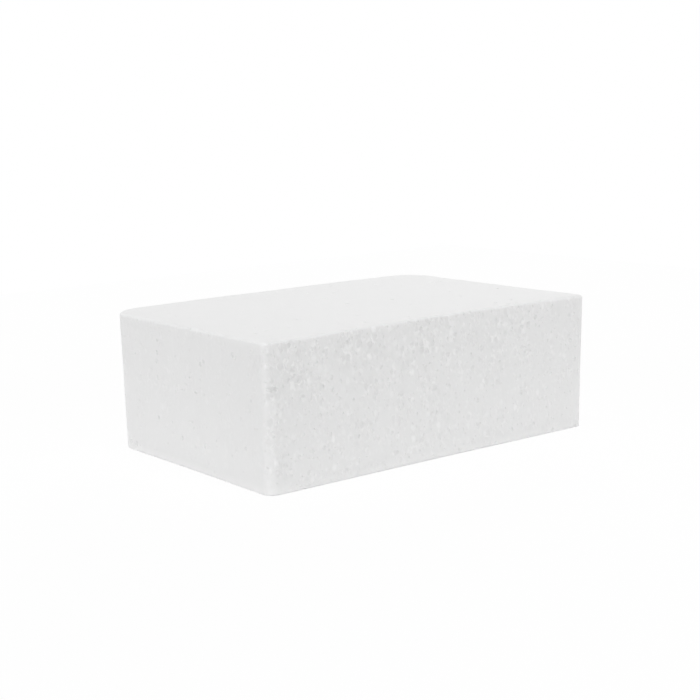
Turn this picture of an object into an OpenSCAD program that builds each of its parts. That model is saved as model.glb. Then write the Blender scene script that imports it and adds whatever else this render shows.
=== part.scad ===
// Finish applicator sponge: one hand-sized block of white foam, cut from a larger bun.
// X runs along the block, Y from front to back, Z up. The origin is at the middle of the
// bottom face, and the block stands on one of its two broad faces.

/* [Block] */
// Length of the block, left to right
block_length = 76; // [50:1:120]
// Width of the block, front to back
block_width = 52; // [36:1:80]
// Height of the block at its middle, bottom to top
block_height = 26.2; // [16:0.1:45]
// How far the upper face falls from its middle to each end
top_crown = 0.2; // [0:0.1:1]

/* [Upright corners] */
// Radius of the front left corner at its top
front_left_corner = 1.1; // [0.6:0.1:9]
// Radius of the front left corner at its foot, where handling has rounded it
front_left_foot = 2.2; // [0.6:0.1:9]
// Radius of the front right corner, the crispest one
front_right_corner = 1; // [0.6:0.1:9]
// Radius of the back right corner
back_right_corner = 7; // [0.6:0.1:9]
// Radius of the back left corner
back_left_corner = 6.3; // [0.6:0.1:9]

/* [Softened edges] */
// Radius where the upper face meets the sides
top_edge = 0.8; // [0.2:0.1:3]
// Radius where the lower face meets the sides
bottom_edge = 0.3; // [0.2:0.1:3]

/* [Cut sides] */
// How far the foot of the right end lies inside its top, as the knife leaned
right_end_lean = 0.9; // [0:0.1:2]
// How far the foot of the left end lies inside its top
left_end_lean = 0.3; // [0:0.1:2]
// How far the front draws in at its middle, along its top, where the knife pressed the foam
front_hollow = 0.6; // [0:0.1:1.5]
// How far the back draws in at its middle, along its top
back_hollow = 0.2; // [0:0.1:1.5]
// How far the right end draws in at its middle, along its top
right_end_hollow = 0.3; // [0:0.1:1.5]
// How far the left end draws in at its middle, along its top
left_end_hollow = 0.2; // [0:0.1:1.5]
// How far every side draws in at its middle, along its foot
foot_hollow = 0.2; // [0:0.1:1.5]

/* [Open cells] */
// Width of the smallest cell that is cut open
small_cell = 0.6; // [0.4:0.1:1]
// Width of the largest cell that is cut open
large_cell = 1.3; // [1:0.1:2]
// Depth of a cell, as a share of its width
cell_depth = 0.3; // [0.2:0.05:0.5]
// Clear strip between the cells and any rounded edge
cell_margin = 1; // [0.6:0.1:3]
// How far a cell may stray from its place in an even spread
cell_stray = 1.6; // [0:0.1:3]
// Cells on each long side
long_side_cells = 46; // [0:1:60]
// Cells on each short side
short_side_cells = 18; // [0:1:30]
// Cells on each broad face
broad_face_cells = 8; // [0:1:20]

/* [Hidden] */

corner_steps = 10; // straight facets in each upright corner
side_steps = 9;    // straight facets along each side
edge_steps = 5;    // straight facets across each softened edge
face_steps = 4;    // rings of facets over the upper face
least_radius = 0.1; // a corner that an edge has eaten into keeps this radius
cell_seed = 7;     // picks one way for the cells to stray

half_length = block_length / 2;
half_width = block_width / 2;

// Successive multiples of these two shares, each less its whole part, fill a rectangle evenly.
plastic_number = 1.32471795724;
across_share = 1 / plastic_number;
up_share = 1 / pow(plastic_number, 2);
golden_share = (sqrt(5) - 1) / 2;

// Corners in turn, seen from above:
// [sign of X, sign of Y, radius at the top, radius at the foot]
corners = [
    [1, -1, front_right_corner, front_right_corner],
    [1, 1, back_right_corner, back_right_corner],
    [-1, 1, back_left_corner, back_left_corner],
    [-1, -1, front_left_corner, front_left_foot]
];

// The side after each of those corners: [distance from the middle, lean, hollow at the top]
sides = [
    [half_length, right_end_lean, right_end_hollow],
    [half_width, 0, back_hollow],
    [half_length, left_end_lean, left_end_hollow],
    [half_width, 0, front_hollow]
];

// ---- Outline in plan, at height z ----------------------------------------------------------

// 0 at the foot of a side and 1 at its top, where the upper edge starts to round
function rise(z) = min(1, z / (block_height - top_edge));

// A size that changes evenly from the foot of the block to its top
function between(foot, top, z) = foot + (top - foot) * rise(z);

// How far a side stands inside its top, as it leans
function lean(side, z) = between(sides[side][1], 0, z);

// How far a side draws in at its middle
function hollow(side, z) = between(foot_hollow, sides[side][2], z);

// 1 at the middle of a side (t = 0) and flat into both corners (t = -1 and 1)
function hollow_share(t) = pow(1 - t * t, 2);

// The arc of a corner, on an outline drawn in by inset
function corner_arc(corner, inset, z) =
    let (
        sign = corners[corner],
        end = sign[0] > 0 ? 0 : 2,
        radius = max(between(sign[3], sign[2], z) - inset, least_radius),
        centre = [
            sign[0] * (half_length - lean(end, z) - inset - radius),
            sign[1] * (half_width - inset - radius)
        ]
    )
    [for (i = [0:corner_steps])
        let (angle = 90 * (corner - 1 + i / corner_steps))
        centre + radius * [cos(angle), sin(angle)]];

// The points of one side between two arcs, bent inwards by depth
function side_curve(from, to, depth) =
    let (
        run = to - from,
        inward = [-run[1], run[0]] / norm(run)
    )
    [for (i = [1:side_steps - 1])
        let (share = i / side_steps)
        from + share * run + depth * hollow_share(2 * share - 1) * inward];

// The whole outline, anticlockwise from above
function outline(inset, z) = [
    for (i = [0:3])
        let (
            arc = corner_arc(i, inset, z),
            next_arc = corner_arc((i + 1) % 4, inset, z)
        )
        each concat(arc, side_curve(arc[corner_steps], next_arc[0], hollow(i, z)))
];

// ---- Block ----------------------------------------------------------------------------------

// How far the crown lowers a point at x. The foot of the block stays flat.
function crown_drop(x, z) = top_crown * rise(z) * pow(x / half_length, 2);

// Section of the softened edges, from the bottom face up: [inset, height]
edge_section = concat(
    [for (i = [0:edge_steps])
        let (angle = 90 * i / edge_steps)
        bottom_edge * [1 - sin(angle), 1 - cos(angle)]],
    [for (i = [0:edge_steps])
        let (angle = 90 * i / edge_steps)
        [top_edge * (1 - cos(angle)), block_height - top_edge * (1 - sin(angle))]]
);

// Outlines stacked up the section and then shrunk over the upper face, with a middle point to
// close each broad face
module foam_block() {
    side_rings = [for (row = edge_section)
        [for (point = outline(row[0], row[1])) [point[0], point[1], row[1]]]];
    rim = side_rings[len(side_rings) - 1];
    face_rings = [for (i = [1:face_steps - 1])
        let (share = 1 - i / face_steps)
        [for (point = rim) [share * point[0], share * point[1], point[2]]]];
    rings = concat(side_rings, face_rings);
    ring_size = len(rim);
    last_ring = len(rings) - 1;
    bottom_middle = ring_size * len(rings);
    top_middle = bottom_middle + 1;
    points = concat(
        [for (ring = rings) for (point = ring) point - [0, 0, crown_drop(point[0], point[2])]],
        [[0, 0, 0], [0, 0, block_height]]
    );
    bottom_face = [for (i = [0:ring_size - 1])
        [bottom_middle, i, (i + 1) % ring_size]];
    top_face = [for (i = [0:ring_size - 1])
        [top_middle, last_ring * ring_size + (i + 1) % ring_size, last_ring * ring_size + i]];
    walls = [for (row = [0:last_ring - 1], i = [0:ring_size - 1])
        let (
            here = row * ring_size + i,
            beside = row * ring_size + (i + 1) % ring_size
        )
        each [
            [here, here + ring_size, beside],
            [beside, here + ring_size, beside + ring_size]
        ]];
    polyhedron(points, concat(bottom_face, walls, top_face));
}

// ---- Open cells -----------------------------------------------------------------------------

// The i-th point of an even spread between low and high
function spread(i, share, low, high) =
    let (walk = (i + 1) * share)
    low + (high - low) * (walk - floor(walk));

// Width of the i-th cell: most are small, and a few are large
function cell_width(i) = small_cell + (large_cell - small_cell) * pow(spread(i, golden_share, 0, 1), 3);

// Places for the cells in a rectangle: an even spread, from which each strays a little
function cell_places(count, low, high, seed) =
    let (stray = rands(-cell_stray, cell_stray, 2 * count, seed))
    [for (i = [0:1:count - 1]) [
        spread(i, across_share, low[0] + cell_stray, high[0] - cell_stray) + stray[2 * i],
        spread(i, up_share, low[1] + cell_stray, high[1] - cell_stray) + stray[2 * i + 1]
    ]];

// A bubble that the knife opened. Its mouth lies in the plane z = 0 and its floor below it.
module cell(width) {
    depth = cell_depth * width;
    radius = (pow(width / 2, 2) + pow(depth, 2)) / (2 * depth);
    translate([0, 0, radius - depth])
        sphere(r = radius, $fn = 24);
}

// Cells of one upright side, in the side's own view: its start corner is on the left
module side_cells(side, count) {
    next = (side + 1) % 4;
    last = (side + 3) % 4;
    reach = sides[next][0] - max(lean(next, 0), lean(last, 0));
    low = max(corners[side][2], corners[side][3]) - reach;
    high = reach - max(corners[next][2], corners[next][3]);
    places = cell_places(count,
        [low + cell_margin, bottom_edge + cell_margin],
        [high - cell_margin, block_height - top_crown - top_edge - cell_margin],
        cell_seed + side);
    for (i = [0:1:count - 1]) {
        along = places[i][0];
        up = places[i][1];
        middle_share = (2 * along - low - high) / (high - low);
        wall = sides[side][0] - lean(side, up) - hollow(side, up) * hollow_share(middle_share);
        rotate([0, 0, 90 * (side + 1)])
            translate([along, -wall, up])
                rotate([90, 0, 0])
                    cell(cell_width(i));
    }
}

// Cells of a broad face: the upper one, or else the lower one
module broad_cells(upper) {
    widest = max([for (corner = corners) max(corner[2], corner[3])]);
    reach = [half_length, half_width] - (widest + cell_margin) * [1, 1];
    places = cell_places(broad_face_cells, -reach, reach, cell_seed + (upper ? 4 : 5));
    for (i = [0:1:broad_face_cells - 1]) {
        x = places[i][0];
        z = upper ? block_height - crown_drop(x, block_height) : 0;
        translate([x, places[i][1], z])
            rotate([upper ? 0 : 180, 0, 0])
                cell(cell_width(i));
    }
}

module open_cells() {
    side_cells(0, short_side_cells);
    side_cells(1, long_side_cells);
    side_cells(2, short_side_cells);
    side_cells(3, long_side_cells);
    broad_cells(upper = true);
    broad_cells(upper = false);
}

module sponge() {
    color("whitesmoke")
        difference() {
            foam_block();
            open_cells();
        }
}

sponge();
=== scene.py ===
# %% [markdown]
# # A foam applicator sponge
#
# The sponge is a block of fine white foam, small enough to hold between fingers and thumb. It is
# used to wipe a finish onto wood or leather. It was cut from a much larger block, so it has no skin:
# every face shows cells that the blade opened. That is nearly all there is to see, so this lesson
# is about one plain shape and how to make it read as soft, light foam.
#
# The first cell loads the solid that was modelled in CAD. It sets where the block is and how large
# it is, and everything made here follows it.

# %% Load the solid block
import math

import bmesh
import bpy
from mathutils import Matrix, Vector


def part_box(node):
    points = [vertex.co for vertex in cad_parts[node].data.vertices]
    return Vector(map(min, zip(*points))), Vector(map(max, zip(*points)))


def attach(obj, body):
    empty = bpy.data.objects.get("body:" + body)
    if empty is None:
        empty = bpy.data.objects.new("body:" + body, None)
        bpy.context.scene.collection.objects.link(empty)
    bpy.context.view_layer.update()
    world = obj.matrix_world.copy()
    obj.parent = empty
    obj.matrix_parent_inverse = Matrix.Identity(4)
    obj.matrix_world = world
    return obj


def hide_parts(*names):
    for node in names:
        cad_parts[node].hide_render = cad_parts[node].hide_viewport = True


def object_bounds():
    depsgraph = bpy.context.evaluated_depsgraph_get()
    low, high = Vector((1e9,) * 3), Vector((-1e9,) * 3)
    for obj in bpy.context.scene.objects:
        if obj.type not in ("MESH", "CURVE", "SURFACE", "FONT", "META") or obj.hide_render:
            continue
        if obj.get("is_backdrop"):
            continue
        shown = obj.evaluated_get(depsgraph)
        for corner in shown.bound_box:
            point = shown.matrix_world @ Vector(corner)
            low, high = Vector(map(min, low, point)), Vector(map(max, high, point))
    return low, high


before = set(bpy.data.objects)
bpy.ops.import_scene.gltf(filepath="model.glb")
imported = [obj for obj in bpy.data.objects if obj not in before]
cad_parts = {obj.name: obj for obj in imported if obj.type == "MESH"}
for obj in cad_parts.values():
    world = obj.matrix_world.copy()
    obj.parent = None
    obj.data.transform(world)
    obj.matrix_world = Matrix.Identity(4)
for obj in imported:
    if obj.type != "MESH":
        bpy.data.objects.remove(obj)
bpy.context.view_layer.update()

MM = 0.001
SOLID = "sponge"

block_low, block_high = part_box(SOLID)
block_size = block_high - block_low
block_middle = (block_low + block_high) / 2
print("The solid block measures", [round(side / MM, 2) for side in block_size], "mm")

# %% [markdown]
# ## The camera
#
# A product shot of something this small is taken from a hand's distance with a long lens, so that
# the block's sides stay nearly parallel. The camera looks down a little, which shows some of the
# upper face, and it stands to the left, which shows one long side and one short one. It aims
# just above the block's middle and leans very slightly, as a camera held by hand does.
#
# A camera can be turned by three angles and then nudged until the picture fits. Here its right, up
# and forward directions are worked out instead, so that each number below has one plain meaning.

# %% Camera directions
CAMERA_TURN = math.radians(37.8)
CAMERA_DROP = math.radians(10.05)
CAMERA_LEAN = math.radians(1.5)


def camera_axes(turn, drop, lean):
    """The camera's right, up and forward directions."""
    forward = Vector((
        math.sin(turn) * math.cos(drop),
        math.cos(turn) * math.cos(drop),
        -math.sin(drop),
    ))
    level = Vector((math.cos(turn), -math.sin(turn), 0))
    upright = level.cross(forward)
    right = level * math.cos(lean) - upright * math.sin(lean)
    up = level * math.sin(lean) + upright * math.cos(lean)
    return right, up, forward


camera_right, camera_up, camera_forward = camera_axes(CAMERA_TURN, CAMERA_DROP, CAMERA_LEAN)
print("The camera looks along", [round(value, 3) for value in camera_forward])

# %% Place the camera
CAMERA_DISTANCE = 281.8 * MM
CAMERA_AIM = 3.65 * MM
CAMERA_NEAREST = 10 * MM
LENS = 74.6


def place_camera(right, up, forward):
    place = block_middle + up * CAMERA_AIM - forward * CAMERA_DISTANCE
    data = bpy.data.cameras.new("camera")
    data.lens = LENS
    data.clip_start = CAMERA_NEAREST
    made = bpy.data.objects.new("camera", data)
    made.matrix_world = Matrix((
        (right.x, up.x, -forward.x, place.x),
        (right.y, up.y, -forward.y, place.y),
        (right.z, up.z, -forward.z, place.z),
        (0, 0, 0, 1),
    ))
    bpy.context.collection.objects.link(made)
    bpy.context.scene.camera = made
    return made


camera = place_camera(camera_right, camera_up, camera_forward)
print("The camera stands at", [round(value / MM) for value in camera.matrix_world.translation], "mm")

# %% [markdown]
# ## Helpers for node trees
#
# The floor, the foam and the open cells are all made with nodes. Each helper here does one small
# thing that would otherwise take several lines every time: set a node's inputs or link them,
# work out a number, mix two colours, or fade from one value to another.

# %% Nodes and links
def feed(tree, place, value):
    """Links another node's output into an input, or sets the input to a plain value."""
    if isinstance(value, bpy.types.NodeSocket):
        tree.links.new(value, place)
    else:
        place.default_value = value


def node(tree, kind, settings=None, **inputs):
    """Adds a node. Inputs are named with underscores for spaces, and take values or outputs."""
    made = tree.nodes.new(kind)
    for name, value in (settings or {}).items():
        setattr(made, name, value)
    for name, value in inputs.items():
        feed(tree, made.inputs[name.replace("_", " ")], value)
    return made


def math_node(tree, operation, *values):
    """A Math node on numbers or on other nodes' outputs; returns its output."""
    made = node(tree, "ShaderNodeMath", {"operation": operation})
    for place, value in zip(made.inputs, values):
        feed(tree, place, value)
    return made.outputs["Value"]


def vector_node(tree, operation, *values):
    """A Vector Math node on vectors or on other nodes' outputs; returns its outputs."""
    made = node(tree, "ShaderNodeVectorMath", {"operation": operation})
    for place, value in zip(made.inputs, values):
        feed(tree, place, value)
    return made.outputs


def scaled(tree, vector, factor):
    """A vector made longer or shorter."""
    settings = {"operation": "SCALE"}
    return node(tree, "ShaderNodeVectorMath", settings, Vector=vector, Scale=factor).outputs["Vector"]


helpers = (feed, node, math_node, vector_node, scaled)
print("Helpers for nodes:", [helper.__name__ for helper in helpers])

# %% Fades, colours and group sockets
def fade(tree, value, start, end, low=0.0):
    """The low value up to start, then smoothly up to 1 at end. The end may be the smaller number."""
    return node(
        tree, "ShaderNodeMapRange", {"interpolation_type": "SMOOTHSTEP"},
        Value=value, From_Min=start, From_Max=end, To_Min=low,
    ).outputs["Result"]


def mixed_colour(tree, share, first, second):
    """The first colour where the share is 0, and the second where it is 1."""
    return node(
        tree, "ShaderNodeMix", {"data_type": "RGBA"}, Factor=share, A=first, B=second
    ).outputs["Result"]


def group_input(tree, name, kind, value=None):
    """Adds a named input to a node group."""
    made = tree.interface.new_socket(name=name, in_out="INPUT", socket_type="NodeSocket" + kind)
    if value is not None:
        made.default_value = value


def group_output(tree, name, kind):
    """Adds a named output to a node group."""
    tree.interface.new_socket(name=name, in_out="OUTPUT", socket_type="NodeSocket" + kind)


helpers = (fade, mixed_colour, group_input, group_output)
print("Helpers for fades, colours and groups:", [helper.__name__ for helper in helpers])

# %% [markdown]
# ## Floor and background
#
# The block stands on a sheet of white paper in a light tent. The world is the tent, and it lays
# the same soft light on the block from every side. The paper throws light back up. It is only
# half a metre wide, so the foot of the block gets a little more of that light than the top.
#
# The white background doesn't come from more light. The paper and the world are simply white where
# the camera sees them, and the paper still takes a faint shadow, so the block stands on something.

# %% What the camera sees directly
WHITE = (1, 1, 1, 1)


def grey(value):
    """A colour without any hue."""
    return (value, value, value, 1)


def seen_directly(tree):
    """A value that is 1 for what the camera sees, straight or in gloss or glass, and 0 for light."""
    path = node(tree, "ShaderNodeLightPath").outputs
    straight_or_gloss = math_node(tree, "MAXIMUM", path["Is Camera Ray"], path["Is Glossy Ray"])
    return math_node(tree, "MAXIMUM", straight_or_gloss, path["Is Transmission Ray"])


def show_mix(tree, output_kind, share, first, second):
    """Sends out the first shader where the share is 0, and the second where it is 1."""
    mix = node(tree, "ShaderNodeMixShader", Fac=share)
    tree.links.new(first.outputs[0], mix.inputs[1])
    tree.links.new(second.outputs[0], mix.inputs[2])
    node(tree, output_kind, Surface=mix.outputs[0])


print("The background is", WHITE[:3], "to the camera")

# %% Hang the light tent
TENT_LIGHT = 0.345


def make_tent():
    world = bpy.data.worlds.new("light tent")
    world.use_nodes = True
    tree = world.node_tree
    tree.nodes.clear()
    tent = node(tree, "ShaderNodeBackground", Color=WHITE, Strength=TENT_LIGHT)
    white = node(tree, "ShaderNodeBackground", Color=WHITE)
    show_mix(tree, "ShaderNodeOutputWorld", seen_directly(tree), tent, white)
    bpy.context.scene.world = world


make_tent()
print("The tent gives", TENT_LIGHT, "of the light on the upper face")

# %% Lay the paper
PAPER_SIZE = 500 * MM
PAPER_WHITE = 0.92
PAPER_GLOW = 0.94


def make_paper_finish():
    """Paper that is lit as it is for the block, and nearly pure white for the camera."""
    material = bpy.data.materials.new("white paper")
    material.use_nodes = True
    tree = material.node_tree
    tree.nodes.clear()
    seen = seen_directly(tree)
    sheet = mixed_colour(tree, seen, grey(PAPER_WHITE), WHITE)
    lit = node(tree, "ShaderNodeBsdfDiffuse", Color=sheet)
    glow = node(tree, "ShaderNodeEmission")
    share = math_node(tree, "MULTIPLY", seen, PAPER_GLOW)
    show_mix(tree, "ShaderNodeOutputMaterial", share, lit, glow)
    return material


def lay_paper():
    half = PAPER_SIZE / 2
    mesh = bpy.data.meshes.new("floor")
    corners = [(-half, -half, 0), (half, -half, 0), (half, half, 0), (-half, half, 0)]
    mesh.from_pydata(corners, [], [(0, 1, 2, 3)])
    mesh.materials.append(make_paper_finish())
    floor = bpy.data.objects.new("floor", mesh)
    bpy.context.collection.objects.link(floor)
    floor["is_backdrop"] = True


lay_paper()
print("The paper is", round(PAPER_SIZE / MM), "mm wide")

# %% [markdown]
# ## Lamps
#
# White foam on white is lit like an egg: soft light from all round, and only a little more of it
# from some sides, or the block turns flat. In a studio that little more comes from softboxes. Area
# lamps could stand for them, but they would have to be placed with care, as their light falls off
# with distance. A sun lamp that looks broad from the block is as soft, and lights all of it alike.
#
# The one above makes the upper face the lightest. The one on the left is a shade stronger than the
# one in front, so that the two sides differ just enough to show the corner between them. The one
# behind keeps the far sides from going dark. The share of each is the light that it lays on a
# surface facing it, where the whole of the light on the upper face is about 1. Then a colour
# renders about as it is written.

# %% Light the block
def softbox(name, share, turn, height, spread):
    """A broad lamp, far away, that lays the given share of light on a surface that faces it.

    turn is measured from the front towards the left, height is above the floor, and spread is how
    broad the lamp looks from the block, all in degrees.
    """
    turn, height = math.radians(turn), math.radians(height)
    direction = Vector((
        -math.sin(turn) * math.cos(height),
        -math.cos(turn) * math.cos(height),
        math.sin(height),
    ))
    data = bpy.data.lights.new(name, "SUN")
    # At a strength of pi, a sun lamp makes white paper that faces it exactly white
    data.energy = share * math.pi
    data.angle = math.radians(spread)
    lamp = bpy.data.objects.new(name, data)
    lamp.location = block_middle + direction
    lamp.rotation_mode = "QUATERNION"
    lamp.rotation_quaternion = direction.to_track_quat("Z", "Y")
    bpy.context.collection.objects.link(lamp)
    print(f"{name}: {share:.2f} of the light from {math.degrees(height):.0f} degrees up")


softbox("softbox above", share=0.366, turn=45, height=84, spread=30)
softbox("softbox in front", share=0.275, turn=-10, height=12, spread=24)
softbox("softbox on the left", share=0.291, turn=96, height=12, spread=24)
softbox("softbox behind", share=0.30, turn=-130, height=14, spread=28)
bpy.context.scene.view_settings.view_transform = "Standard"

# %% [markdown]
# ## The uncut block
#
# The real block is anything but a perfect box. Foam gives way under the blade, so each cut side is
# drawn in a little at its middle, the ends lean, and the upright corners are rounded by different
# amounts. A cube with a bevel would miss all of that. So the outline is worked out here, corner
# by corner, which keeps every one of those sizes a number that can be changed.

# %% Sizes of the block
# Corners in turn, seen from above: sign of x, sign of y, radius at the top and at the bottom
CORNERS = [
    (1, -1, 1.0 * MM, 1.0 * MM),
    (1, 1, 7.0 * MM, 7.0 * MM),
    (-1, 1, 6.3 * MM, 6.3 * MM),
    (-1, -1, 1.1 * MM, 2.2 * MM),
]
# After each of those corners comes a side: how far its middle is drawn in at the top and at the
# bottom, and how far its lower edge lies inside its upper edge
SIDES = [
    (0.30 * MM, 0.20 * MM, 0.9 * MM),
    (0.15 * MM, 0.20 * MM, 0.0 * MM),
    (0.25 * MM, 0.15 * MM, 0.3 * MM),
    (0.55 * MM, 0.20 * MM, 0.0 * MM),
]
LEAST_RADIUS = 0.1 * MM
CORNER_STEPS = 10
SIDE_STEP = 2.6 * MM


def between(top, bottom, down):
    """A size part of the way down the block. down is 0 at the top and 1 at the bottom."""
    return top * (1 - down) + bottom * down


print("The corners are rounded by", [round(corner[2] / MM, 1) for corner in CORNERS], "mm")

# %% Outline at one height
def hollow_share(t):
    """1 at the middle of a side, at t = 0, and level at its ends, at t = -1 and 1."""
    return (1 - t * t) ** 2


def corner_arc(corner, lean, inset, down):
    """The points of one rounded corner, on an outline drawn in by inset."""
    x_sign, y_sign, top_radius, bottom_radius = CORNERS[corner]
    radius = max(between(top_radius, bottom_radius, down) - inset, LEAST_RADIUS)
    x_lean, y_lean = lean
    centre = Vector((
        x_sign * (block_size.x / 2 - inset - radius - x_lean * down),
        y_sign * (block_size.y / 2 - inset - radius - y_lean * down),
    ))
    first = math.pi / 2 * (corner - 1)
    angles = [first + math.pi / 2 * step / CORNER_STEPS for step in range(CORNER_STEPS + 1)]
    return [centre + radius * Vector((math.cos(angle), math.sin(angle))) for angle in angles]


def outline(inset, down):
    """The block's outline at one height, anticlockwise from above."""
    right, back, left, front = [side[2] for side in SIDES]
    leans = [(right, front), (right, back), (left, back), (left, front)]
    arcs = [corner_arc(corner, leans[corner], inset, down) for corner in range(4)]
    points = []
    for corner, arc in enumerate(arcs):
        start, end = arc[-1], arcs[(corner + 1) % 4][0]
        top_hollow, bottom_hollow, _ = SIDES[corner]
        hollow = between(top_hollow, bottom_hollow, down)
        run = end - start
        inward = Vector((-run.y, run.x)).normalized()
        length = (block_size.x, block_size.y)[(corner + 1) % 2]
        steps = round(length / SIDE_STEP)
        points += arc
        for step in range(1, steps):
            share = step / steps
            points.append(start + run * share + inward * hollow * hollow_share(2 * share - 1))
    return points


print("Each outline has", len(outline(inset=0, down=0)), "points")

# %% [markdown]
# The outlines are stacked in rows, each drawn in by the softened edge at its height. The two broad
# faces are the same outline shrunk in steps towards its middle. One flat face would be enough for
# a plain block, but these have to take slow waves later on.

# %% Rows from the bottom to the top
TOP_EDGE = 0.5 * MM
BOTTOM_EDGE = 0.15 * MM
TOP_CROWN = 0.2 * MM
EDGE_STEPS = 6
WALL_STEPS = 10
FACE_STEPS = 12


def edge_section():
    """How far each row is drawn in, and its height, from the lower edge to the upper one."""
    height = block_size.z
    wall = height - TOP_EDGE - BOTTOM_EDGE
    turns = [math.pi / 2 * step / EDGE_STEPS for step in range(EDGE_STEPS + 1)]
    lower = [(BOTTOM_EDGE * (1 - math.sin(turn)), BOTTOM_EDGE * (1 - math.cos(turn))) for turn in turns]
    middle = [(0, BOTTOM_EDGE + wall * step / WALL_STEPS) for step in range(1, WALL_STEPS)]
    upper = [
        (TOP_EDGE * (1 - math.cos(turn)), height - TOP_EDGE * (1 - math.sin(turn))) for turn in turns
    ]
    return lower + middle + upper


def crowned(point):
    """The upper face falls very slightly from its middle to each end."""
    x, y, z = point
    return x, y, z - TOP_CROWN * (z / block_size.z) * (2 * x / block_size.x) ** 2


def block_rows():
    """Rows of points from the middle of the bottom face, up the sides, to the middle of the top."""
    rows = [
        [(*point, z) for point in outline(inset, 1 - z / block_size.z)]
        for inset, z in edge_section()
    ]
    shares = [step / FACE_STEPS for step in range(1, FACE_STEPS)]
    bottom = [[(x * share, y * share, z) for x, y, z in rows[0]] for share in shares]
    top = [[(x * share, y * share, z) for x, y, z in rows[-1]] for share in reversed(shares)]
    return bottom + rows + top


stack = block_rows()
print("The block has", len(stack), "rows of", len(stack[0]), "points")

# %% Join the rows into a closed block
def make_block(rows):
    around = len(rows[0])
    points = [crowned(point) for row in rows for point in row]
    bottom_middle, top_middle = len(points), len(points) + 1
    points += [(0, 0, 0), (0, 0, block_size.z)]
    faces = []
    for row in range(len(rows) - 1):
        for column in range(around):
            here, beside = row * around + column, row * around + (column + 1) % around
            faces.append((here, beside, beside + around, here + around))
    last = (len(rows) - 1) * around
    for column in range(around):
        beside = (column + 1) % around
        faces.append((bottom_middle, beside, column))
        faces.append((top_middle, last + column, last + beside))
    mesh = bpy.data.meshes.new("foam block")
    mesh.from_pydata(points, [], faces)
    mesh.validate()
    made = bpy.data.objects.new("foam_block", mesh)
    made.location = (block_middle.x, block_middle.y, block_low.z)
    bpy.context.collection.objects.link(made)
    return made


block = make_block(stack)
print("The uncut block has", len(block.data.polygons), "faces")

# %% [markdown]
# ## The grain of the foam
#
# The largest cells will be real holes. Between them lies a finer grain: cells of about 1.2 and
# 0.7 mm that the blade only grazed. Some lie open and some kept a skin. The open ones get painted
# shade, a shade greyer, and their walls and the skins get painted highlight, a shade paler. They
# come in patches, because the blade pulls at the foam unevenly.
#
# An image could show that, but it would have to be wrapped round the block. Voronoi cells in three
# dimensions need no wrapping, and they run on round every edge as real cells do. A node group
# makes the grain, with its places pushed about first so that no cell is plainly round.

# %% One size of cells
# Each pair says where a fade starts and where it is full. Across a cell it is the distance from
# its middle, in cell widths, and among the cells it is each one's own random number.
DIP_FADE = (0.6, 0.2)
WALL_INNER_FADE = (0.35, 0.6)
WALL_OUTER_FADE = (0.95, 0.65)
OPENED_CELLS = (0.6, 0.0)
SKINNED_CELLS = (0.75, 1.0)


def cell_field(tree, vector, scale):
    """A field of cells: the distance from the middle of the cell, and a number of its own."""
    settings = {"voronoi_dimensions": "3D", "feature": "F1"}
    cells = node(tree, "ShaderNodeTexVoronoi", settings, Vector=vector, Scale=scale)
    number = node(tree, "ShaderNodeSeparateColor", Color=cells.outputs["Color"])
    return cells.outputs["Distance"], number.outputs["Red"]


def cut_cells(tree, vector, scale, amount, arcs):
    """Cells of one size that the blade met: their open dips, which also get painted shade, and painted
    highlight.
    """
    distance, number = cell_field(tree, vector, scale)
    middle = fade(tree, distance, *DIP_FADE)
    inner = fade(tree, distance, *WALL_INNER_FADE)
    outer = fade(tree, distance, *WALL_OUTER_FADE)
    wall = math_node(tree, "MULTIPLY", math_node(tree, "MULTIPLY", inner, outer), arcs)
    opened = math_node(tree, "MULTIPLY", fade(tree, number, *OPENED_CELLS), amount)
    skinned = math_node(tree, "MULTIPLY", fade(tree, number, *SKINNED_CELLS), amount)
    dip = math_node(tree, "MULTIPLY", middle, opened)
    skin = math_node(tree, "MULTIPLY", middle, skinned)
    # The second value is painted highlight: on the walls of open cells and on the skinned cells
    return dip, math_node(tree, "MULTIPLY_ADD", wall, opened, skin)


print("Of 100 fine cells, about", round(100 * OPENED_CELLS[0]), "lie open and",
      round(100 * (1 - SKINNED_CELLS[0])), "kept their skin")

# %% Places pushed about
PUSH_SIZE = 0.8 * MM
PUSH_REACH = 0.3 * MM


def noise(tree, vector, size, detail=1):
    """Soft noise whose blots are about as wide as size; returns its outputs."""
    return node(tree, "ShaderNodeTexNoise", Vector=vector, Scale=1 / size, Detail=detail).outputs


def pushed_about(tree, vector, size, reach):
    """The same places, pushed about by up to reach, so that no cell keeps a plain round shape."""
    colour = noise(tree, vector, size)["Color"]
    # Each channel lies around a half, so a half is taken off before it pushes
    centred = vector_node(tree, "SUBTRACT", colour, (0.5, 0.5, 0.5))["Vector"]
    return vector_node(tree, "MULTIPLY_ADD", centred, [2 * reach] * 3, vector)["Vector"]


print("The places are pushed by up to", round(PUSH_REACH / MM, 1), "mm")

# %% Node group of the grain
# How open the patches are: the least, and how much more the most open ones are
PATCH_SIZE = 4 * MM
PATCH_FADE = (0.35, 0.65)
LEAST_PATCH = 0.5
PATCH_RANGE = 0.8
# The pale walls show as broken arcs, because noise hides part of each
ARC_SIZE = 0.9 * MM
ARC_FADE = (0.42, 0.62)
# The second size of cells, and how strongly it shows beside the first
FINER_BY = 1.8
FINER_SHARE = 0.7


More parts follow.
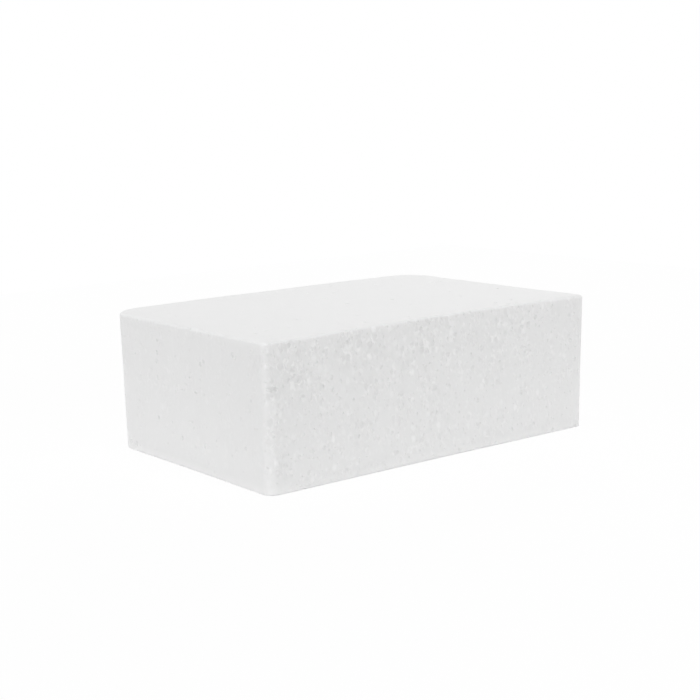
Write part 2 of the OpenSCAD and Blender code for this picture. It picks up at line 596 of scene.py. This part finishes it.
def make_grain():
    tree = bpy.data.node_groups.new("foam grain", "ShaderNodeTree")
    group_input(tree, "Vector", "Vector")
    group_input(tree, "Cell width", "Float", 1.0 * MM)
    group_input(tree, "Openness", "Float", 1.0)
    for name in ("Height", "Open", "Skin"):
        group_output(tree, name, "Float")
    given = node(tree, "NodeGroupInput").outputs

    patch = fade(tree, noise(tree, given["Vector"], PATCH_SIZE, detail=2)["Fac"], *PATCH_FADE)
    patch = math_node(tree, "MULTIPLY_ADD", patch, PATCH_RANGE, LEAST_PATCH)
    amount = math_node(tree, "MULTIPLY", given["Openness"], patch)
    arcs = fade(tree, noise(tree, given["Vector"], ARC_SIZE)["Fac"], *ARC_FADE)

    place = pushed_about(tree, given["Vector"], PUSH_SIZE, PUSH_REACH)
    scale = math_node(tree, "DIVIDE", 1.0, given["Cell width"])
    finer_scale = math_node(tree, "MULTIPLY", scale, FINER_BY)
    large_dip, large_highlight = cut_cells(tree, place, scale, amount, arcs)
    small_dip, small_highlight = cut_cells(tree, place, finer_scale, amount, arcs)
    small_dip = math_node(tree, "MULTIPLY", small_dip, FINER_SHARE)
    small_highlight = math_node(tree, "MULTIPLY", small_highlight, FINER_SHARE)
    dip = math_node(tree, "MAXIMUM", large_dip, small_dip)
    skin = math_node(tree, "MAXIMUM", large_highlight, small_highlight)
    # The bump follows the same cells as the painted shade and the painted highlight
    height = math_node(tree, "SUBTRACT", skin, dip)
    node(tree, "NodeGroupOutput", Height=height, Open=dip, Skin=skin)
    return tree


grain = make_grain()
print("The grain has", len(grain.nodes), "nodes and gives",
      [item.name for item in grain.interface.items_tree if item.in_out == "OUTPUT"])

# %% [markdown]
# ## The finish: white foam
#
# Foam is matt all the way: light goes a little way in between the cells and comes out again, so
# the material has a good share of subsurface scattering and hardly any gloss. Its colour is plain
# white, with a faint mottle. Where cells lie open it has painted shade, a shade greyer, and on their
# walls and where cells kept their skin it has painted highlight, a shade paler. Down at the foot it
# has painted light too: the lowest part is paler, to lift the shade there.
#
# A single colour with a bump would look like plaster. It is the small steps of painted shade and
# painted highlight, each tied to the same cells as the bump, that make it read as foam. Cells
# stretch as foam rises, so the grain is stretched upwards before it is used.

# %% Mottle of the foam
MOTTLES_PER_METRE = 240
MOTTLE_DETAIL = 3
MOTTLE_SHARE = 0.4
# The mottle is strongest where cells lie open: its reach there comes on top of its reach elsewhere
MOTTLE_WHERE_OPEN = 0.7
MOTTLE_ELSEWHERE = 0.25


def surface_number(tree, name):
    """Reads a number that the Geometry Nodes tree stored on the surface."""
    return node(tree, "ShaderNodeAttribute", {"attribute_name": name}).outputs["Fac"]


def mottle(tree, place, openness):
    """A faint unevenness of the colour, above and below 0."""
    blots = node(
        tree, "ShaderNodeTexNoise", Vector=place, Scale=MOTTLES_PER_METRE, Detail=MOTTLE_DETAIL
    ).outputs["Fac"]
    tint = math_node(tree, "MULTIPLY_ADD", blots, MOTTLE_SHARE, -MOTTLE_SHARE / 2)
    reach = math_node(tree, "MULTIPLY_ADD", openness, MOTTLE_WHERE_OPEN, MOTTLE_ELSEWHERE)
    return math_node(tree, "MULTIPLY", tint, reach)


print("The mottles are about", round(1 / MOTTLES_PER_METRE / MM), "mm wide")

# %% Colour of the foam
FOAM_WHITE = grey(0.85)
OPEN_SHADE_GREY = grey(0.70)
PAINTED_LIGHT_WHITE = grey(0.96)
# How far painted shade in the open places and in the cut holes pulls the colour to the grey
OPEN_SHADE_SHARE = 0.27
HOLE_SHADE_SHARE = 0.08
# How far the painted highlight on the skins and the painted light at the foot pull the colour to the
# paler white
SKIN_HIGHLIGHT_SHARE = 0.7
FOOT_LIGHT_SHARE = 0.55
FOOT_LIGHT_HEIGHT = 1.4 * MM


def foam_colour(tree, place, cells, openness):
    """White foam with painted shade in open places and holes, painted highlight on the cells and
    painted light at the foot.
    """
    tint = mottle(tree, place, openness)
    greyness = math_node(tree, "MULTIPLY_ADD", cells["Open"], OPEN_SHADE_SHARE, tint)
    # Painted shade in the cut holes: their walls are greyed a little
    greyness = math_node(tree, "MULTIPLY_ADD", surface_number(tree, "hole"), HOLE_SHADE_SHARE, greyness)
    greyed = mixed_colour(tree, greyness, FOAM_WHITE, OPEN_SHADE_GREY)

    height = node(tree, "ShaderNodeSeparateXYZ", Vector=place).outputs["Z"]
    # Painted light at the foot: the foam is made paler towards the base, to lift the shade there
    foot = math_node(tree, "MULTIPLY", fade(tree, height, FOOT_LIGHT_HEIGHT, 0.0), FOOT_LIGHT_SHARE)
    # Painted highlight on the cell walls and on the skinned cells
    skin = math_node(tree, "MULTIPLY", cells["Skin"], SKIN_HIGHLIGHT_SHARE)
    # The paler of the painted highlight and the painted light at the foot
    pale = math_node(tree, "MAXIMUM", skin, foot)
    return mixed_colour(tree, pale, greyed, PAINTED_LIGHT_WHITE)


print("The foam's white is", FOAM_WHITE[0], "and its open cells fall towards", OPEN_SHADE_GREY[0])

# %% Foam material
CELL_WIDTH = 1.2 * MM
CELL_STRETCH = (1, 1, 0.75)
BUMP_HEIGHT = 0.06 * MM
FOAM_ROUGHNESS = 0.9
SMOOTHER_SKIN = -0.2
FOAM_BODY = {
    "Specular IOR Level": 0.15,
    "Subsurface Weight": 0.7,
    "Subsurface Radius": (1, 1, 1),
    "Subsurface Scale": 0.6 * MM,
    "Sheen Weight": 0.08,
    "Sheen Roughness": 0.6,
}


def make_foam():
    material = bpy.data.materials.new("white foam")
    material.use_nodes = True
    tree = material.node_tree
    shader = tree.nodes["Principled BSDF"]
    for name, value in FOAM_BODY.items():
        shader.inputs[name].default_value = value

    here = node(tree, "ShaderNodeTexCoord").outputs["Object"]
    place = node(tree, "ShaderNodeMapping", Vector=here, Scale=CELL_STRETCH).outputs["Vector"]
    openness = surface_number(tree, "openness")
    cells = node(
        tree, "ShaderNodeGroup", {"node_tree": grain},
        Vector=place, Cell_width=CELL_WIDTH, Openness=openness,
    ).outputs

    colour = foam_colour(tree, place, cells, openness)
    rough = math_node(tree, "MULTIPLY_ADD", cells["Skin"], SMOOTHER_SKIN, FOAM_ROUGHNESS)
    bump = node(tree, "ShaderNodeBump", Strength=1.0, Distance=BUMP_HEIGHT, Height=cells["Height"])
    tree.links.new(colour, shader.inputs["Base Color"])
    tree.links.new(rough, shader.inputs["Roughness"])
    tree.links.new(bump.outputs["Normal"], shader.inputs["Normal"])
    return material


foam = make_foam()
print("The foam material has", len(foam.node_tree.nodes), "nodes")

# %% [markdown]
# ## The open cells
#
# A blade that goes through foam cuts thousands of bubbles in half. Drawn by hand that would be
# hopeless, and as a bump alone it would give the block a smooth, printed look at its edges. It is
# just what Geometry Nodes are for: scatter points over the block, set a small bubble on each and
# cut them all away at once.
#
# The bubbles stretch as the foam rises in its mould, so the faces of a block differ. The two
# long sides show the most cells, the short sides fewer, and the broad faces were cut along
# the grain and look almost closed. The tree takes a share for each, and blends them by the way
# that the surface faces, so that the cells thin out gradually round a corner. They thin out
# towards the foot and the right end as well, where the blade dragged more of them shut.

# %% Sizes of the open cells
NICK_FROM_LEFT = 1.6 * MM
NICK_HEIGHT = 18.2 * MM
NICK_LENGTH = 3.8 * MM
NICK_DEPTH = 0.27 * MM
NICK_GAPE = 0.9 * MM
NICK_TURN = math.radians(-10)

CELL_INPUTS = {
    "Cells per square metre": ("Float", 9e5),
    "Least spacing": ("Float", 0.80 * MM),
    "Share on long sides": ("Float", 1.16),
    "Share on short sides": ("Float", 0.4),
    "Share on broad faces": ("Float", 0.09),
    "Share at the foot": ("Float", 0.7),
    "Share at the right end": ("Float", 0.7),
    "Smallest radius": ("Float", 0.35 * MM),
    "Largest radius": ("Float", 0.95 * MM),
    "Unevenness": ("Float", 0.12 * MM),
    "Nick place": ("Vector", (NICK_FROM_LEFT - block_size.x / 2, -block_size.y / 2, NICK_HEIGHT)),
    "Nick turn": ("Vector", (0, 0, NICK_TURN)),
    "Nick size": ("Vector", (NICK_LENGTH / 2, NICK_DEPTH, NICK_GAPE / 2)),
    "Seed": ("Int", 7),
}
print("The tree for the open cells takes", len(CELL_INPUTS), "sizes and shares")

# %% Numbers kept on the surface
def store(tree, mesh, name, value, domain="POINT"):
    """Stores a number on every point or face of a mesh, under a name that the material reads."""
    return node(
        tree, "GeometryNodeStoreNamedAttribute", {"data_type": "FLOAT", "domain": domain},
        Geometry=mesh, Name=name, Value=value,
    ).outputs[0]


def stored(tree, name):
    """Reads back a number that was stored under a name."""
    return node(tree, "GeometryNodeInputNamedAttribute", {"data_type": "FLOAT"}, Name=name).outputs[0]


def random_value(tree, low, high, seed):
    """A different number for each point."""
    return node(
        tree, "FunctionNodeRandomValue", {"data_type": "FLOAT"}, Min=low, Max=high, Seed=seed
    ).outputs["Value"]


print("The surface will keep two numbers, openness and hole")

# %% [markdown]
# Foam springs back after the cut, and not quite evenly, so the skin gets slow waves before any cell
# is cut. The base stays flat, so that the block stands firmly. Then each point of the skin is
# told how open it is, a number that both the scatter and the material read.

# %% Uneven skin and its openness
WAVES_PER_METRE = 95.0
WAVE_DETAIL = 1.0
FACING_DOWN = -0.3


def uneven_surface(tree, mesh, amount):
    """Moves the surface in and out by up to amount, in soft waves, but leaves the base flat."""
    normal = node(tree, "GeometryNodeInputNormal").outputs[0]
    waves = node(tree, "ShaderNodeTexNoise", Scale=WAVES_PER_METRE, Detail=WAVE_DETAIL).outputs["Fac"]
    upward = node(tree, "ShaderNodeSeparateXYZ", Vector=normal).outputs["Z"]
    not_base = math_node(tree, "GREATER_THAN", upward, FACING_DOWN)
    # Noise runs from 0 to 1, and a wave from -1 to 1
    wave = math_node(tree, "MULTIPLY_ADD", waves, 2.0, -1.0)
    reach = math_node(tree, "MULTIPLY", math_node(tree, "MULTIPLY", wave, amount), not_base)
    offset = scaled(tree, normal, reach)
    return node(tree, "GeometryNodeSetPosition", Geometry=mesh, Offset=offset).outputs[0]


def share_open(tree, given):
    """The share of cells that lie open: by facing, and fewer to the foot and to the right end."""
    normal = node(tree, "GeometryNodeInputNormal").outputs[0]
    squares = vector_node(tree, "MULTIPLY", normal, normal)["Vector"]
    shares = node(
        tree, "ShaderNodeCombineXYZ",
        X=given["Share on short sides"],
        Y=given["Share on long sides"],
        Z=given["Share on broad faces"],
    ).outputs[0]
    by_facing = vector_node(tree, "DOT_PRODUCT", squares, shares)["Value"]
    position = node(tree, "GeometryNodeInputPosition").outputs[0]
    place = node(tree, "ShaderNodeSeparateXYZ", Vector=position).outputs
    half = block_size.x / 2
    down = fade(tree, place["Z"], 0, block_size.z, low=given["Share at the foot"])
    along = fade(tree, place["X"], half, -half, low=given["Share at the right end"])
    return math_node(tree, "MULTIPLY", by_facing, math_node(tree, "MULTIPLY", down, along))


print("The waves are about", round(1 / WAVES_PER_METRE / MM), "mm long")

# %% [markdown]
# Each bubble is a ball of few faces, because thousands of them are cut away. No two are alike:
# each has its own size, stretch, tilt and depth, from random numbers with a seed of their own.
# The number behind the size is raised to a power, which makes most bubbles small. Each bubble is
# marked as a hole, so that its walls can be told from the skin and get a little painted shade.

# %% Shape of a bubble
BUBBLE_ROUNDS = 2
MOSTLY_SMALL = 2.2
BUBBLE_STRETCH = (0.8, 1.3)


def ball(tree, rounds):
    """A ball of radius 1, marked as a hole."""
    mesh = node(tree, "GeometryNodeMeshIcoSphere", Radius=1.0, Subdivisions=rounds).outputs["Mesh"]
    return store(tree, mesh, "hole", 1.0, "FACE")


def bubble_radius(tree, given):
    """A radius between the smallest and the largest, and mostly near the smallest."""
    bias = math_node(tree, "POWER", random_value(tree, 0.0, 1.0, seed=1), MOSTLY_SMALL)
    span = math_node(tree, "SUBTRACT", given["Largest radius"], given["Smallest radius"])
    return math_node(tree, "MULTIPLY_ADD", bias, span, given["Smallest radius"])


def bubble_stretch(tree, radius):
    """The radius of a bubble each way: up to a third more or a fifth less across than in depth."""
    return node(
        tree, "ShaderNodeCombineXYZ",
        X=math_node(tree, "MULTIPLY", radius, random_value(tree, *BUBBLE_STRETCH, seed=2)),
        Y=math_node(tree, "MULTIPLY", radius, random_value(tree, *BUBBLE_STRETCH, seed=3)),
        Z=radius,
    ).outputs[0]


print("A bubble is a ball stretched by", BUBBLE_STRETCH)

# %% Scatter the bubbles
# The depth of a bubble's middle as a share of its radius, and its tilt and spin in radians
BUBBLE_SINK = (0.76, 0.95)
BUBBLE_TILT = (0.0, 0.5)
BUBBLE_SPIN = (0.0, 6.28)


def bubbles(tree, mesh, given):
    """One lopsided bubble on each scattered point, sunk to a random depth."""
    scatter = node(
        tree, "GeometryNodeDistributePointsOnFaces", {"distribute_method": "POISSON"},
        Mesh=mesh,
        Distance_Min=given["Least spacing"],
        Density_Max=given["Cells per square metre"],
        Density_Factor=stored(tree, "openness"),
        Seed=given["Seed"],
    ).outputs
    radius = bubble_radius(tree, given)
    turn = node(
        tree, "ShaderNodeCombineXYZ",
        X=random_value(tree, *BUBBLE_TILT, seed=5),
        Y=random_value(tree, *BUBBLE_TILT, seed=6),
        Z=random_value(tree, *BUBBLE_SPIN, seed=7),
    ).outputs[0]
    sink = math_node(tree, "MULTIPLY", radius, random_value(tree, *BUBBLE_SINK, seed=4))
    shift = scaled(tree, scatter["Normal"], sink)
    placed = node(
        tree, "GeometryNodeInstanceOnPoints",
        Points=scatter["Points"],
        Instance=ball(tree, BUBBLE_ROUNDS),
        Rotation=scatter["Rotation"],
        Scale=bubble_stretch(tree, radius),
    ).outputs[0]
    spun = node(tree, "GeometryNodeRotateInstances", Instances=placed, Rotation=turn).outputs[0]
    return node(
        tree, "GeometryNodeTranslateInstances",
        Instances=spun, Translation=shift, Local_Space=False,
    ).outputs[0]


print("A bubble sinks to", BUBBLE_SINK, "of its radius")

# %% [markdown]
# One corner of the block has been caught on something. A thin lens, cut away with the bubbles,
# leaves the shallow nick. After the cut the walls and the skin are shaded smooth, but the rim
# between them stays sharp. A rim is easy to find: of its two faces, just one is marked as a hole.

# %% Nick and rims
NICK_ROUNDS = 4
RIM_MARK = 0.5
RIM_MARGIN = 0.2


def nick(tree, given):
    """A thin lens that cuts one shallow nick beside the front left corner."""
    return node(
        tree, "GeometryNodeTransform",
        Geometry=ball(tree, NICK_ROUNDS),
        Translation=given["Nick place"],
        Rotation=given["Nick turn"],
        Scale=given["Nick size"],
    ).outputs[0]


def smooth_but_for_rims(tree, mesh):
    """Shades the surface smooth, but for the rim of each cell, where a wall meets the skin."""
    smooth = node(
        tree, "GeometryNodeSetShadeSmooth", {"domain": "FACE"}, Geometry=mesh, Shade_Smooth=True
    ).outputs[0]
    # Seen from an edge, the mark on its two faces is averaged, so only a rim has one half
    at_edge = node(
        tree, "GeometryNodeFieldOnDomain", {"data_type": "FLOAT", "domain": "EDGE"},
        Value=stored(tree, "hole"),
    ).outputs[0]
    rim = math_node(tree, "COMPARE", at_edge, RIM_MARK, RIM_MARGIN)
    return node(
        tree, "GeometryNodeSetShadeSmooth", {"domain": "EDGE"},
        Geometry=smooth, Selection=rim, Shade_Smooth=False,
    ).outputs[0]


print("The nick is", round(NICK_LENGTH / MM, 1), "mm long and", round(NICK_DEPTH / MM, 2), "mm deep")

# %% Geometry Nodes tree that cuts the cells
def make_cell_tree():
    tree = bpy.data.node_groups.new("open cells", "GeometryNodeTree")
    group_input(tree, "Geometry", "Geometry")
    for name, (kind, value) in CELL_INPUTS.items():
        group_input(tree, name, kind, value)
    group_output(tree, "Geometry", "Geometry")
    given = node(tree, "NodeGroupInput").outputs

    uneven = uneven_surface(tree, given["Geometry"], given["Unevenness"])
    skin = store(tree, uneven, "openness", share_open(tree, given))
    skin = store(tree, skin, "hole", 0.0, "FACE")
    cut = node(tree, "GeometryNodeMeshBoolean", {"operation": "DIFFERENCE", "solver": "MANIFOLD"})
    tree.links.new(skin, cut.inputs["Mesh 1"])
    tree.links.new(bubbles(tree, skin, given), cut.inputs["Mesh 2"])
    tree.links.new(nick(tree, given), cut.inputs["Mesh 2"])
    # The cut leaves the number off the new corners, so each point takes it from the uncut skin
    nearest = node(
        tree, "GeometryNodeSampleNearestSurface", {"data_type": "FLOAT"},
        Mesh=skin, Value=stored(tree, "openness"),
    ).outputs["Value"]
    whole = store(tree, cut.outputs["Mesh"], "openness", nearest)
    shaded = smooth_but_for_rims(tree, whole)
    real = node(tree, "GeometryNodeRealizeInstances", Geometry=shaded).outputs[0]
    painted = node(tree, "GeometryNodeSetMaterial", Geometry=real, Material=foam).outputs[0]
    node(tree, "NodeGroupOutput", Geometry=painted)
    return tree


cell_tree = make_cell_tree()
print("The tree has", len(cell_tree.nodes), "nodes")

# %% [markdown]
# ## From tree to plain mesh
#
# A modifier could stay on the block and be worked out again at every change. But the block is going
# to be handed over and exported, and a plain mesh is the safest thing to hand over. So the tree
# runs once, its result becomes the block's own mesh, and the modifier goes. The block's place goes
# into the mesh too, so that its object stands at the origin, as the solids from CAD do.
#
# A cut like this can go wrong quietly, so the result is measured: a closed block has no loose edge.

# %% Run the tree
def run_tree(piece, tree, values):
    """Runs a Geometry Nodes tree on a piece and leaves the result as its mesh."""
    modifier = piece.modifiers.new(tree.name, "NODES")
    modifier.node_group = tree
    for item in tree.interface.items_tree:
        if item.in_out == "INPUT" and item.name in values:
            modifier[item.identifier] = values[item.name]
    depsgraph = bpy.context.evaluated_depsgraph_get()
    done = piece.evaluated_get(depsgraph)
    mesh = bpy.data.meshes.new_from_object(done, preserve_all_data_layers=True, depsgraph=depsgraph)
    piece.modifiers.remove(modifier)
    piece.data = mesh
    mesh.calc_loop_triangles()
    return mesh


def settle(piece):
    """Moves a piece's place into its mesh, so that its object stands at the origin."""
    piece.data.transform(Matrix.Translation(piece.location))
    piece.location = (0, 0, 0)


cell_values = {name: value for name, (_, value) in CELL_INPUTS.items()}
cut_mesh = run_tree(block, cell_tree, cell_values)
settle(block)
print("The cut block has", len(cut_mesh.loop_triangles), "triangles")

# %% Measure the cut block
def measured(mesh):
    """The number of edges that aren't shared by exactly two faces, and the enclosed volume."""
    test = bmesh.new()
    test.from_mesh(mesh)
    loose = sum(1 for edge in test.edges if len(edge.link_faces) != 2)
    volume = test.calc_volume(signed=True)
    test.free()
    return loose, volume


loose_edges, foam_volume = measured(cut_mesh)
print("It has", loose_edges, "loose edges and holds", round(foam_volume / MM ** 3), "cubic mm of foam")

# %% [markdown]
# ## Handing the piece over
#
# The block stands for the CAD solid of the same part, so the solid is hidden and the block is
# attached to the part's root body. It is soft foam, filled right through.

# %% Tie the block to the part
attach(block, "root")
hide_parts(SOLID)

dressed_low, dressed_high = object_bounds()
print("The dressed block measures", [round(side / MM, 2) for side in dressed_high - dressed_low], "mm")
